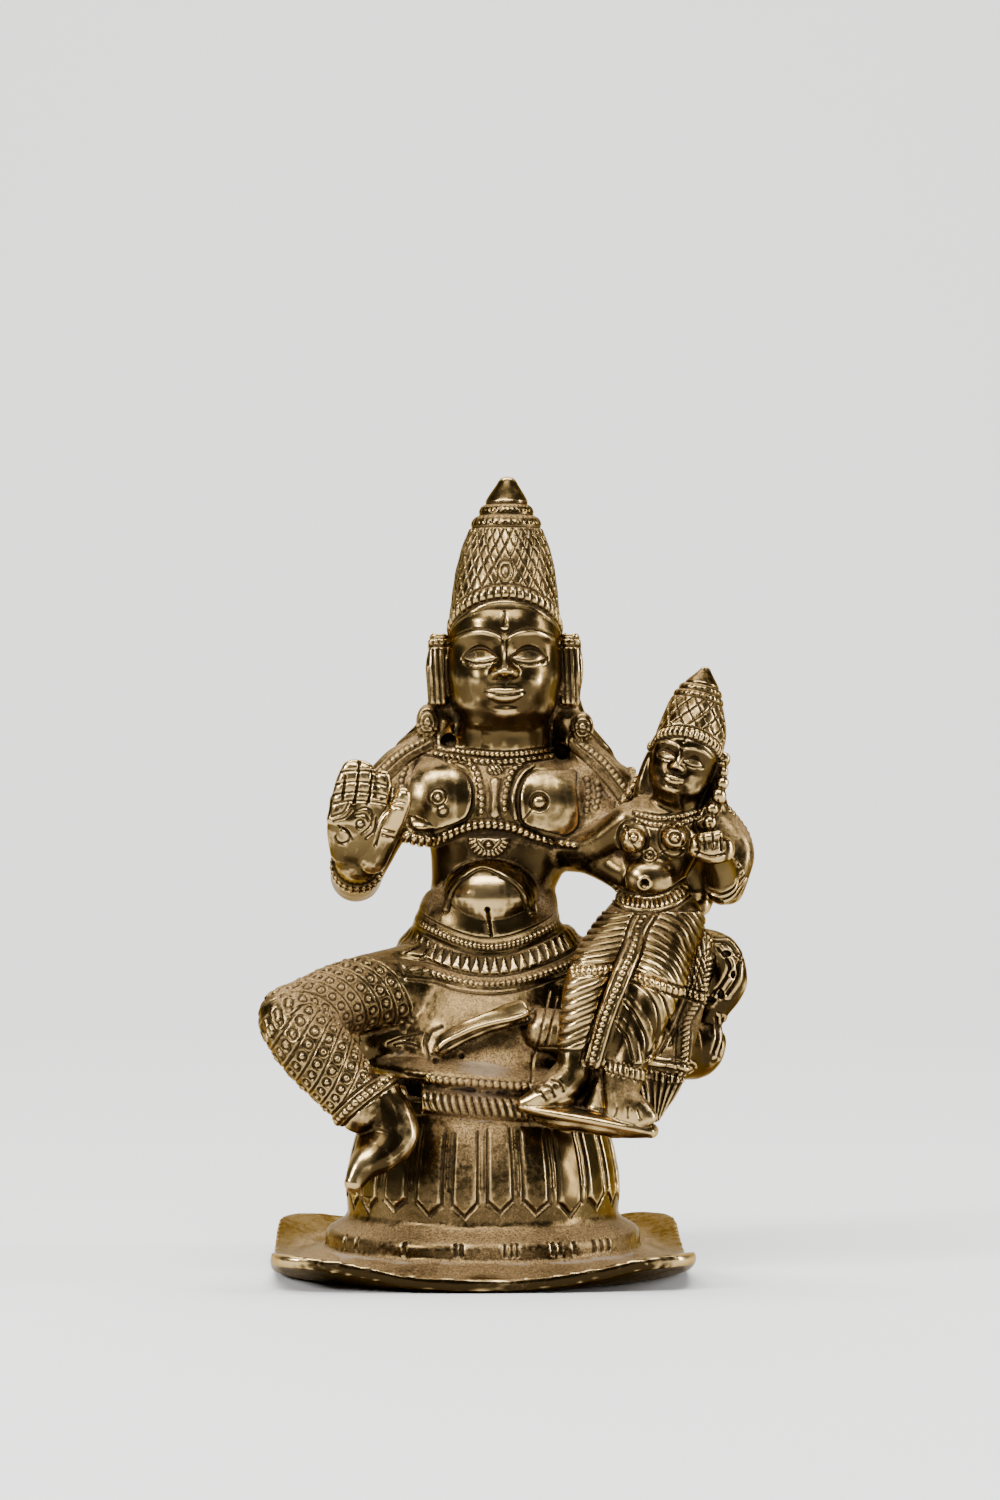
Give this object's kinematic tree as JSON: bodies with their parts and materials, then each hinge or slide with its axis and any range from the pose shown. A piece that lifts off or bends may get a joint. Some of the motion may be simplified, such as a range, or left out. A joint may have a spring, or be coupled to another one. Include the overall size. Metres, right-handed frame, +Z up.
{
  "type": "seated figure group",
  "caption": "Small cast brass devotional group: a crowned god seated on a lotus pedestal with his consort on his thigh, on a square plate.",
  "frame": {"origin": "on the flat underside of the plate, below the middle of the lotus pedestal", "axes": "+Z up, the figures face -Y, the consort sits on the +X side"},
  "size_m": [0.0744, 0.064, 0.1214],
  "materials": {
    "brass": "worn cast brass, burnished on the high places, grey-brown dust in the recesses"
  },
  "bodies": {
    "root": {"bronze_group": "brass"}
  },
  "joints": []
}
